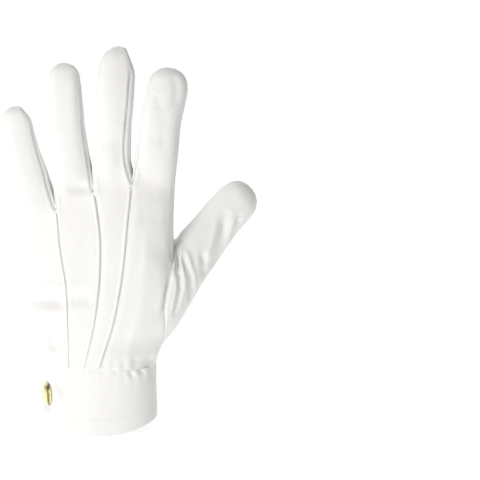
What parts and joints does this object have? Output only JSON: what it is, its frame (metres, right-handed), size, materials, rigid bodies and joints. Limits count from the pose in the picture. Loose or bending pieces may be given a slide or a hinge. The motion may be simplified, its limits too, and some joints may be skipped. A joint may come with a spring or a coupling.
{
  "type": "billiard referee glove",
  "caption": "White cotton dress glove for the left hand with raised points down the back, side strips between the fingers, a gathered wrist and a brass snap at the cuff.",
  "frame": {"origin": "middle of the cuff's opening, where the hand enters", "axes": "+X to the thumb side, -Y out of the back of the hand, +Z to the fingertips"},
  "size_m": [0.1648, 0.0579, 0.2495],
  "materials": {
    "cotton_cloth": "matt, finely knitted",
    "brass": "polished"
  },
  "bodies": {
    "root": {"back_panel": "cotton_cloth", "palm_panel": "cotton_cloth", "fourchette_little_ring": "cotton_cloth", "fourchette_ring_middle": "cotton_cloth", "fourchette_middle_index": "cotton_cloth", "thumb": "cotton_cloth", "point_little": "cotton_cloth", "point_middle": "cotton_cloth", "point_index": "cotton_cloth", "cuff": "cotton_cloth", "snap_cap": "brass", "snap_back": "brass"}
  },
  "joints": []
}
